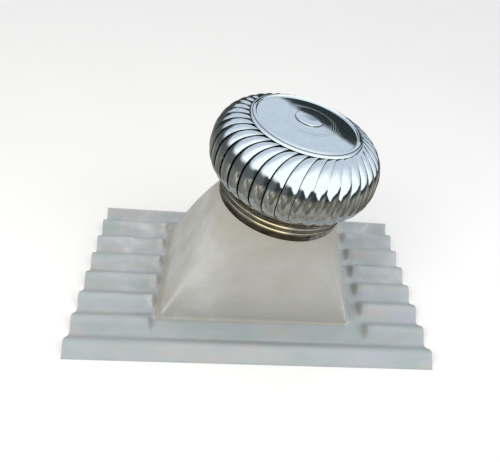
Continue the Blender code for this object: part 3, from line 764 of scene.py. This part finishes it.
def hood_centre(share):
    return FOOT_CENTRE.lerp(AXIS_FRAME @ Vector((0.0, 0.0, NECK_BEND)), share)


def hood_rings():
    """The hood's outer surface as rings of points, from the flange's edge to the neck's top."""
    half_length = (FLANGE_RIGHT - FLANGE_LEFT) / 2.0
    flange = rounded_ring(half_length, FOOT_WIDTH / 2.0 + FLANGE_WIDTH, FOOT_CORNER)
    middle = Vector(((FLANGE_LEFT + FLANGE_RIGHT) / 2.0, FOOT_CENTRE.y, HOOD_WALL))
    rings = [[middle + point for point in flange]]
    for level in range(HOOD_LEVELS + 1):
        share = level / HOOD_LEVELS
        rings.append([hood_centre(share) + point for point in drawn_ring(share)])
    turn = Matrix.Rotation(LEAN, 3, "Y")
    top = AXIS_FRAME @ Vector((0.0, 0.0, NECK_TOP))
    neck = rounded_ring(NECK_RADIUS, NECK_RADIUS, NECK_RADIUS)
    rings.append([top + turn @ point for point in neck])
    return rings


def lofted(rings, light_and_shade):
    """A skin through rings of points, extruded from each ring to the next.

    A function gives each point's painted light and painted shade from its ring's number, its own
    and its place.
    """
    bm = bmesh.new()
    worn = bm.verts.layers.float.new("worn")
    grime = bm.verts.layers.float.new("grime")
    verts = bmesh.ops.create_circle(bm, segments=len(rings[0]), radius=1.0)["verts"]
    edges = list(bm.edges)
    for number, ring in enumerate(rings):
        if number:
            made = bmesh.ops.extrude_edge_only(bm, edges=edges)["geom"]
            fresh = {item for item in made if isinstance(item, bmesh.types.BMVert)}
            edges = [item for item in made if isinstance(item, bmesh.types.BMEdge)]
            edges = [edge for edge in edges if fresh.issuperset(edge.verts)]
            above = []
            for vert in verts:
                nearby = (edge.other_vert(vert) for edge in vert.link_edges)
                above.append(next(other for other in nearby if other in fresh))
            verts = above
        for index, (vert, point) in enumerate(zip(verts, ring)):
            vert.co = point
            vert[worn], vert[grime] = light_and_shade(number, index, point)
    bmesh.ops.recalc_face_normals(bm, faces=bm.faces)
    face_up(bm, Vector((0.0, -1.0, 0.3)))
    return bm


def hood_light_and_shade(number, index, point):
    """Painted highlights along the four corners' ridges, and painted shade under the collar."""
    if number == 0:
        return 0.0, 0.0
    share = (number - 1) / HOOD_LEVELS
    corner = blend(FOOT_CORNER, NECK_RADIUS, share**RIDGE_FADE)
    step = index % (CORNER_STEPS + 1)
    away = abs(step - CORNER_STEPS / 2.0) * corner * math.pi / 2.0 / CORNER_STEPS
    worn = RIDGE_HIGHLIGHT * max(1.0 - away / RIDGE_WIDTH, 0.0) * eased(1.0 - share / RIDGE_END)
    return worn, NECK_SHADE * eased((share - NECK_SHADE_START) / NECK_SHADE_RUN)


def build_hood(finish):
    bm = lofted(hood_rings(), hood_light_and_shade)
    hood = new_object("hood_laminate", bm, finish, smooth_angle=40.0)
    add_wall(hood, HOOD_WALL)
    dress(hood, "base", "hood_resin", "throat_hood")


def fillet_rings():
    rings = []
    base = Vector((FOOT_CENTRE.x, FOOT_CENTRE.y, PAD_HEIGHT + FILLET_SKIN))
    for level in range(FILLET_STEPS + 1):
        step = level / FILLET_STEPS
        share = FILLET_TOP * step**2
        top = hood_centre(share)
        centre = base.lerp(top, min(step * FILLET_RISE, 1.0))
        centre.z = max(base.z, top.z)
        grown = FILLET_REACH * (1.0 - step) ** 2 + FILLET_SKIN
        rings.append([centre + point for point in drawn_ring(share, grown)])
    return rings


def fillet_light_and_shade(number, index, point):
    """Painted highlight at the right end, and painted shade elsewhere, most of all at the left
    end.
    """
    step = number / FILLET_STEPS
    side = (point.x - FOOT_CENTRE.x) / (FOOT_LENGTH / 2.0)
    worn = FILLET_HIGHLIGHT * eased(FILLET_FADE * (side - FILLET_END))
    grime = blend(FILLET_SHADE, FILLET_SHADE_LEFT, eased(FILLET_FADE * (-side - FILLET_END)))
    return worn * math.sin(math.pi * min(step + 0.25, 1.0)), grime * (1.0 - step**2)


def build_foot_fillet(finish):
    """Strip of resin and glass that rounds the joint between the hood's foot and the pad."""
    bm = lofted(fillet_rings(), fillet_light_and_shade)
    strip = new_object("foot_fillet", bm, finish, smooth_angle=60.0)
    dress(strip, "base", "hood_resin")


# Neck


def collar_line():
    """The collar's outer line, from its foot up over two rolled beads to the shoulder."""
    radius = COLLAR_RADIUS
    line = [(radius, COLLAR_FOOT)]
    for height in BEAD_HEIGHTS:
        for step in range(-BEAD_STEPS, BEAD_STEPS + 1):
            rise = BEAD_RISE * (1.0 + math.cos(math.pi * step / BEAD_STEPS)) / 2.0
            line.append((radius + rise, height + BEAD_HALF_WIDTH * step / BEAD_STEPS))
    line.append((radius, SHOULDER_HEIGHT))
    return line


def build_collar(finish):
    line = collar_line()
    for inwards, rise in SHOULDER_ROLL:
        line.append((blend(COLLAR_RADIUS, UPSTAND_RADIUS, inwards), SHOULDER_HEIGHT + rise))
    line.append((UPSTAND_RADIUS, UPSTAND_TOP))
    turned_sheet(
        "collar_band",
        line,
        COLLAR_WALL,
        (0.0, -1.0, 0.0),
        finish,
        "base",
        "polished_steel",
        "neck_collar",
    )


def build_lap(finish):
    """Outer end of the collar's band, where it is lapped over its other end and riveted."""
    start = from_front(LAP_START)
    angle = LAP_END - LAP_START
    bm = spun(collar_line(), steps=LAP_STEPS, start=start, angle=angle)
    for vert in bm.verts:
        share = (math.atan2(vert.co.y, vert.co.x) - start) / angle
        out = vert.co.xy.length + LAP_RISE * blend(LAP_TUCK, 1.0, share)
        vert.co.xy = vert.co.xy.normalized() * out
    face_up(bm, Vector((0.0, -1.0, 0.0)))
    stand_on_axis(bm)
    lap = new_object("collar_lap", bm, finish)
    add_wall(lap, LAP_WALL)
    dress(lap, "base", "polished_steel")
    for number, height in enumerate(RIVET_HEIGHTS, start=1):
        add_rivet(f"lap_rivet_{number}", height, finish)


def add_rivet(name, height, finish):
    """Domed rivet head on the collar's lap."""
    line = []
    for index in range(RIVET_RINGS + 1):
        turn = math.pi / 2.0 * index / RIVET_RINGS
        line.append((RIVET_RADIUS * math.cos(turn), RIVET_RISE * math.sin(turn)))
    bm = spun(line, steps=RIVET_STEPS)
    face_up(bm, Vector((0.0, 0.0, 1.0)))
    place = (
        AXIS_FRAME
        @ Matrix.Rotation(from_front(RIVET_ANGLE), 4, "Z")
        @ Matrix.Translation((COLLAR_RADIUS + LAP_RISE, 0.0, height))
        @ Matrix.Rotation(math.pi / 2.0, 4, "Y")
    )
    bmesh.ops.transform(bm, matrix=place, verts=bm.verts)
    rivet = new_object(name, bm, finish)
    add_wall(rivet, RIVET_WALL)
    dress(rivet, "base", "polished_steel")


# Rotor


def bezier(points, share):
    a, b, c, d = [Vector(point) for point in points]
    rest = 1.0 - share
    return a * rest**3 + b * 3.0 * rest**2 * share + c * 3.0 * rest * share**2 + d * share**3


def rim_point(inwards):
    return Vector(
        (RIM_RADIUS - inwards * math.cos(RIM_SLOPE), RIM_HEIGHT + inwards * math.sin(RIM_SLOPE))
    )


def foot_point(outwards):
    return Vector(
        (
            VANE_FOOT_RADIUS + outwards * math.cos(FOOT_SLOPE),
            VANE_FOOT_HEIGHT + outwards * math.sin(FOOT_SLOPE),
        )
    )


def shoulder_progress(share):
    """0 at the rim to 1 at the belly."""
    return min(max((share - TAB_SHARE) / SHOULDER_SHARE, 0.0), 1.0)


def foot_progress(share):
    """0 at the belly to 1 at the vane's foot."""
    start = TAB_SHARE + SHOULDER_SHARE
    return min(max((share - start) / (1.0 - start), 0.0), 1.0)


def vane_line(share):
    """(radius, height) on the rotor's outline, from the tab under the lip (0) to the foot (1)."""
    belly = (ROTOR_RADIUS, BELLY_HEIGHT)
    if share < TAB_SHARE:
        return rim_point(VANE_TAB * (1.0 - share / TAB_SHARE))
    if share < TAB_SHARE + SHOULDER_SHARE:
        above = (ROTOR_RADIUS, BELLY_HEIGHT + SHOULDER_HANDLE)
        upper = (rim_point(0.0), rim_point(-RIM_HANDLE), above, belly)
        return bezier(upper, shoulder_progress(share))
    below = (ROTOR_RADIUS, BELLY_HEIGHT - BELLY_HANDLE)
    lower = (belly, below, foot_point(FOOT_HANDLE), foot_point(0.0))
    return bezier(lower, foot_progress(share))


def vane_normal(share):
    """The outline's outward normal in the plane of radius and height."""
    along = vane_line(min(share + SLOPE_STEP, 1.0)) - vane_line(max(share - SLOPE_STEP, 0.0))
    along.normalize()
    return Vector((-along.y, along.x))


def vane_sweep(share):
    top = 1.0 - (1.0 - shoulder_progress(share)) ** TOP_SWEEP_EASE
    return TOP_SWEEP * top + FOOT_SWEEP * foot_progress(share) ** 2


def vane_crown(share):
    near_end = min(share - CROWN_START, 1.0 - share) / CROWN_RUN
    return VANE_CROWN * math.sin(math.pi / 2.0 * min(max(near_end, 0.0), 1.0))


def vane_point(share, across, hem):
    """A point on the vane; across runs from -1, the tucked edge, to 1, the outer edge."""
    line = vane_line(share)
    depth = blend(VANE_END_DEPTH, VANE_BELLY_DEPTH, math.sin(math.pi * share))
    crown = vane_crown(share) * (1.0 - across**2)
    inwards = depth * (1.0 - across) / 2.0 - crown + hem * math.sin(math.pi * share)
    line -= vane_normal(share) * inwards
    angle = vane_sweep(share) + across * math.pi / VANE_COUNT * (1.0 + VANE_OVERLAP)
    return Vector((line.x * math.sin(angle), -line.x * math.cos(angle), line.y))


def build_vanes(finish):
    """Forty curved blades, each tucked under the next, with its outer edge hemmed back."""
    for number in range(1, VANE_COUNT + 1):
        bm = bmesh.new()
        bm.loops.layers.uv.new("UVMap")
        bmesh.ops.create_grid(
            bm,
            x_segments=VANE_STEPS_ACROSS + 1,
            y_segments=VANE_STEPS_ALONG,
            size=1.0,
            calc_uvs=True,
        )
        for vert in bm.verts:
            index = round((vert.co.x + 1.0) / 2.0 * (VANE_STEPS_ACROSS + 1))
            across = min(index / VANE_STEPS_ACROSS, 1.0) * 2.0 - 1.0
            hem = VANE_HEM if index > VANE_STEPS_ACROSS else 0.0
            vert.co = vane_point((1.0 - vert.co.y) / 2.0, across, hem)
        turn = Matrix.Rotation((number - 1) * FULL_TURN / VANE_COUNT, 4, "Z")
        bmesh.ops.transform(bm, matrix=AXIS_FRAME @ turn, verts=bm.verts)
        vane = new_object(f"blade_{number:02d}", bm, finish, smooth_angle=50.0)
        add_wall(vane, VANE_WALL)
        dress(vane, "rotor", "polished_steel", f"vane_{number:02d}")


def ring_offset():
    """How far a ring's face lies inside the rotor's outline, under the vanes' tucked ends."""
    return VANE_END_DEPTH + VANE_WALL + RING_LAP


def build_foot_band(finish):
    """Band above the collar's shoulder, with a flange that follows the vane feet."""
    inside = Vector((-math.sin(FOOT_SLOPE), math.cos(FOOT_SLOPE))) * ring_offset()
    outer = foot_point(RING_FLANGE) + inside
    inner = foot_point(0.0) + inside
    radius = VANE_FOOT_RADIUS - RING_LAP
    bend = inner.y + (radius - inner.x) * math.tan(FOOT_SLOPE)
    foot = SHOULDER_HEIGHT + SHOULDER_RISE + RUNNING_GAP
    line = [(outer.x, outer.y)]
    line += [(radius + out, bend + up) for out, up in RING_BEND]
    line += [(radius + out, foot + up) for out, up in RING_HEEL]
    turned_sheet(
        "foot_band",
        line,
        RING_WALL,
        (0.0, -1.0, 0.0),
        finish,
        "rotor",
        "polished_steel",
        "vane_foot_ring",
    )


def build_rim_band(finish):
    """Flat ring under the plate's lip, which the vane tops are fastened to."""
    inside = Vector((-math.sin(RIM_SLOPE), -math.cos(RIM_SLOPE))) * ring_offset()
    outer = rim_point(0.0) + inside
    inner = rim_point(RING_FLANGE) + inside
    below = Vector((0.0, -RING_WALL))
    outline = [tuple(point) for point in (outer, inner, inner + below, outer + below)]
    turned_solid("rim_band", outline, finish, "rotor", "mill_steel", "vane_rim_ring")


def lip_height(radius):
    above = (PLATE_WALL + LIP_GAP) / math.cos(RIM_SLOPE)
    return RIM_HEIGHT + (RIM_RADIUS - radius) * math.tan(RIM_SLOPE) + above


def groove_radius():
    return PLATE_OUTSIDE - LIP_WIDTH - GROOVE_WIDTH


def seat_height():
    return lip_height(groove_radius() + GROOVE_WIDTH) - GROOVE_DEPTH + DOME_HEIGHT


def dome_height(radius):
    share = (radius**2 - SEAT_RADIUS**2) / (groove_radius() ** 2 - SEAT_RADIUS**2)
    return seat_height() - DOME_HEIGHT * max(share, 0.0)


def ripple(radius):
    """Faint ridges that the spinning tool left in a band half-way out."""
    near = eased(1.0 - abs(radius - RIPPLE_MIDDLE) / RIPPLE_REACH)
    return RIPPLE_HEIGHT * near * math.sin(FULL_TURN * radius / RIPPLE_PITCH)


def build_plate(finish):
    """Spun disc: a rounded lip, a groove inside it and a low dome."""
    inside = PLATE_OUTSIDE - LIP_WIDTH
    line = [(PLATE_OUTSIDE + LIP_TURN[0], lip_height(PLATE_OUTSIDE) + LIP_TURN[1])]
    for index in range(LIP_STEPS + 1):
        share = index / LIP_STEPS
        radius = blend(PLATE_OUTSIDE, LIP_CREASE, share)
        line.append((radius, lip_height(radius) + LIP_LIFT * math.sin(math.pi * share)))
    radius = blend(LIP_CREASE, inside, LIP_FOOT[0])
    line.append((radius, lip_height(radius) + LIP_FOOT[1]))
    line.append((inside, lip_height(inside)))
    for index in range(1, GROOVE_STEPS):
        share = index / GROOVE_STEPS
        radius = blend(inside, groove_radius(), share)
        height = blend(lip_height(inside), dome_height(groove_radius()), eased(share))
        line.append((radius, height))
    for index in range(DOME_STEPS + 1):
        radius = blend(groove_radius(), SEAT_RADIUS, index / DOME_STEPS)
        line.append((radius, dome_height(radius) + ripple(radius)))
    line.append((PLATE_BORE, seat_height()))
    turned_sheet(
        "plate_disc",
        line,
        PLATE_WALL,
        (0.0, 0.0, 1.0),
        finish,
        "rotor",
        "polished_steel",
        "top_plate",
    )


def build_cap(finish):
    """Low pressed cap with a round shoulder, over the middle of the plate."""
    foot = dome_height(CAP_RADIUS) + CAP_GAP + CAP_WALL
    line = []
    for index in range(CAP_STEPS + 1):
        out = math.cos(math.pi / 2.0 * index / CAP_STEPS)
        line.append((CAP_RADIUS * out, foot + CAP_RISE * (1.0 - out**CAP_FLATNESS) ** CAP_CORNER))
    turned_sheet(
        "cap_dome",
        line,
        CAP_WALL,
        (0.0, 0.0, 1.0),
        finish,
        "rotor",
        "polished_steel",
        "centre_cap",
    )


# Stage


def build_stage():
    """Plain pale floor; it is kept out of the steel's reflections, which show a dull ground."""
    made, tree, shader = new_material("stage_floor", {"Roughness": 0.9})
    tone = {"Vector": coordinates(tree), "Scale": 1.0 / FLOOR_TONE}
    tone = put(tree, "TexNoise", None, tone)
    colour = layered(tree, "#FBFBFA", (tone, "#F7F7F6"))
    tree.links.new(colour, shader.inputs["Base Color"])
    bm = bmesh.new()
    bmesh.ops.create_grid(bm, x_segments=1, y_segments=1, size=FLOOR_SIZE)
    floor = new_object("floor", bm, made)
    floor.visible_glossy = False


def skyline(tree, way):
    """How high the horizon stands in each direction.

    Behind, it climbs towards +X and then drops away to an open side.
    """
    east, north = axes(tree, way)["X"], axes(tree, way)["Y"]
    climb = put(tree, "Math", LARGER, [
        put(tree, "MapRange", SMOOTH, [east, 0.115, 0.33, 0.12, 0.36]),
        put(tree, "MapRange", SMOOTH, [east, -0.12, -0.45, 0.0, 0.36]),
    ])
    behind = product(tree, climb, put(tree, "MapRange", SMOOTH, [east, 0.70, 0.60]))
    before = put(tree, "Math", LARGER, [
        put(tree, "MapRange", SMOOTH, [east, -0.45, 0.45, 0.40, -0.16]),
        put(tree, "MapRange", SMOOTH, [east, 0.20, 0.60, -0.30, 0.08]),
    ])
    turned = put(tree, "MapRange", SMOOTH, [north, -0.2, 0.2])
    sides = {"Factor": turned, "A": before, "B": behind}
    return put(tree, "Mix", {"data_type": "FLOAT"}, sides)


def build_world():
    """Even pale studio light. The steel mirrors an overcast sky over a dull horizon and ground."""
    world = bpy.data.worlds.new("studio")
    bpy.context.scene.world = world
    world.use_nodes = True
    tree = world.node_tree
    tree.nodes.clear()
    way = put(tree, "TexCoord", output="Generated")
    split = axes(tree, way)
    east, north, rise = split["X"], split["Y"], split["Z"]
    ragged = {"Vector": way, "Scale": 1.0 / SKYLINE_TEETH, "Detail": 4.0, "Roughness": 0.6}
    ragged = product(tree, put(tree, "TexNoise", None, ragged), 0.10)
    level = put(tree, "Math", LESS, [rise, skyline(tree, way)])
    level = put(tree, "Math", ADD, [level, ragged])

    ground = put(tree, "TexNoise", None, {"Vector": way, "Scale": 1.0 / GROUND_PATCH})
    ground = put(tree, "MapRange", SMOOTH, [ground, 0.35, 0.65])
    # Pale sunlit ground low down to the left in front
    patches = {"Vector": way, "Scale": 1.0 / SUNLIT_PATCH, "Detail": 1.0}
    patches = put(tree, "TexNoise", None, patches)
    sunlit = product(
        tree,
        put(tree, "MapRange", SMOOTH, [rise, -0.55, -0.35]),
        put(tree, "MapRange", SMOOTH, [rise, -0.05, -0.20]),
        put(tree, "MapRange", SMOOTH, [east, -0.98, -0.90]),
        put(tree, "MapRange", SMOOTH, [east, -0.35, -0.55]),
        put(tree, "MapRange", SMOOTH, [north, -0.2, -0.4]),
        put(tree, "MapRange", SMOOTH, [patches, 0.50, 0.58]),
        0.75,
    )
    # To the left the skyline is blurred and paler.
    left = put(tree, "MapRange", SMOOTH, [east, -0.25, -0.75])
    blur = product(tree, left, 0.10)
    start = put(tree, "Math", LESS, [0.02, blur])
    end = put(tree, "Math", ADD, [0.10, blur])
    sky = put(tree, "MapRange", SMOOTH, [north, -0.3, 0.5])
    seen = layered(
        tree,
        "#5A5850",
        (ground, "#94928A"),
        (put(tree, "MapRange", SMOOTH, [rise, -0.30, -0.04]), "#2B3235"),
        (sunlit, "#E3D6BC"),
        (product(tree, left, 0.35), "#7A7F7E"),
        (
            put(tree, "MapRange", SMOOTH, [level, start, end]),
            layered(tree, "#EEF7F8", (sky, "#C6D3E0")),
        ),
    )
    bright = put(tree, "MapRange", SMOOTH, [north, 0.4, -0.3, 1.15, 1.4])
    mirrored = put(tree, "Background", None, {"Color": seen, "Strength": bright})
    plain = put(tree, "Background", None, {"Color": "#FFFFFF", "Strength": PLAIN_LIGHT})
    glossy = put(tree, "LightPath", output="Is Glossy Ray")
    both = put(tree, "MixShader", None, [glossy, plain, mirrored])
    put(tree, "OutputWorld", None, {"Surface": both})


def add_softbox(name, place, target, size, power, colour):
    data = bpy.data.lights.new(name, "AREA")
    data.shape = "DISK"
    data.size = size
    data.energy = power
    data.color = linear(colour)[:3]
    lamp = bpy.data.objects.new(name, data)
    bpy.context.scene.collection.objects.link(lamp)
    lamp.location = place
    lamp.visible_glossy = False
    lamp.rotation_mode = "QUATERNION"
    lamp.rotation_quaternion = (Vector(target) - Vector(place)).to_track_quat("-Z", "Y")


def build_camera():
    back = Vector(
        (
            math.sin(AZIMUTH) * math.cos(ELEVATION),
            -math.cos(AZIMUTH) * math.cos(ELEVATION),
            math.sin(ELEVATION),
        )
    )
    right = (-back).cross(Vector((0.0, 0.0, 1.0))).normalized()
    up = right.cross(-back)
    rolled_right = math.cos(ROLL) * right + math.sin(ROLL) * up
    rolled_up = -math.sin(ROLL) * right + math.cos(ROLL) * up
    turn = Matrix((rolled_right, rolled_up, back)).transposed().to_4x4()
    data = bpy.data.cameras.new("camera")
    data.lens = LENS
    data.sensor_width = SENSOR
    data.shift_x, data.shift_y = SHIFT
    camera = bpy.data.objects.new("camera", data)
    bpy.context.scene.collection.objects.link(camera)
    camera.matrix_world = Matrix.Translation(LOOK_AT + back * DISTANCE) @ turn
    bpy.context.scene.camera = camera


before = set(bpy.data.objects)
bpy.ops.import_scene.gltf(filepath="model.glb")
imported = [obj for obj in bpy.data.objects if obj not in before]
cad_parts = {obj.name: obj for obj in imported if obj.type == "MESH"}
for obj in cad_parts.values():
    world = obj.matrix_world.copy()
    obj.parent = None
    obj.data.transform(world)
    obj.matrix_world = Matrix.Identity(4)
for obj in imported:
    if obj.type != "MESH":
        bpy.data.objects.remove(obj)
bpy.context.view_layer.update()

hood_gel = laminate(
    "weathered_beige_gel_coat",
    "#B0AFA9",
    "#A9A8A0",
    # Colour of painted shade, with some grime.
    "#A09A88",
    ("#B4B3B0", "#ABA899"),
    0.3,
    # Painted light: the hood's left side paler, where more light falls.
    ("X", -0.05, -0.30, "#BDBDBA"),
)
sheet_gel = laminate(
    "weathered_grey_gel_coat",
    "#ABB4B6",
    "#A3ACAE",
    # Colour of painted shade, with some grime.
    "#97968E",
    ("#AEB0BC", "#9FACA9", "#B3B1AE"),
    0.8,
    # Painted light: the sheet paler towards the back, where more light falls.
    ("Y", -0.35, 0.35, "#CDCED2"),
)
mirror = polished_steel("mirror_polished_stainless")
spun_mirror = polished_steel("spun_and_polished_stainless", marks=plate_painted_light)
# A darker, browner copy of the polished steel: painted shade and dark reflection for the collar
# under the rotor, with some dust.
dusty_shaded = polished_steel("tarnished_polished_stainless", "#A0978A", "#8B8275", collar_painted_light)
vane_steel = polished_steel("polished_stainless_vane", marks=vane_shade_and_grime, flutes=True)
mill = plain_steel("mill_finish_stainless", "#B9BAB9", "#9D9F9E", 0.35, 0.004)
zinc = plain_steel("zinc_plated_steel", "#B4B7B8", "#92979A", 0.45, 0.006)
bearing = plain_steel("ground_bearing_steel", "#C4C6C8", "#AEB1B3", 0.22, 0.003)

build_sheet(sheet_gel)
build_hood(hood_gel)
build_collar(dusty_shaded)
build_lap(dusty_shaded)
build_foot_fillet(hood_gel)
build_vanes(vane_steel)
build_foot_band(mirror)
build_rim_band(mill)
build_plate(spun_mirror)
build_cap(mirror)

for slot_name, finish in (("mill_steel", mill), ("zinc_steel", zinc), ("bearing_steel", bearing)):
    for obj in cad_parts.values():
        for slot in obj.material_slots:
            if slot.material and slot.material.name.startswith(slot_name):
                slot.material = finish

build_stage()
build_world()
add_softbox("key_softbox", (-2.6, -2.2, 3.4), (0.0, 0.0, 0.3), 2.4, 56.0, "#FFFBF4")
add_softbox("fill_softbox", (2.8, -1.6, 2.6), (0.2, 0.0, 0.2), 2.4, 30.0, "#F6F9FF")
build_camera()

bpy.context.scene.view_settings.view_transform = "Standard"
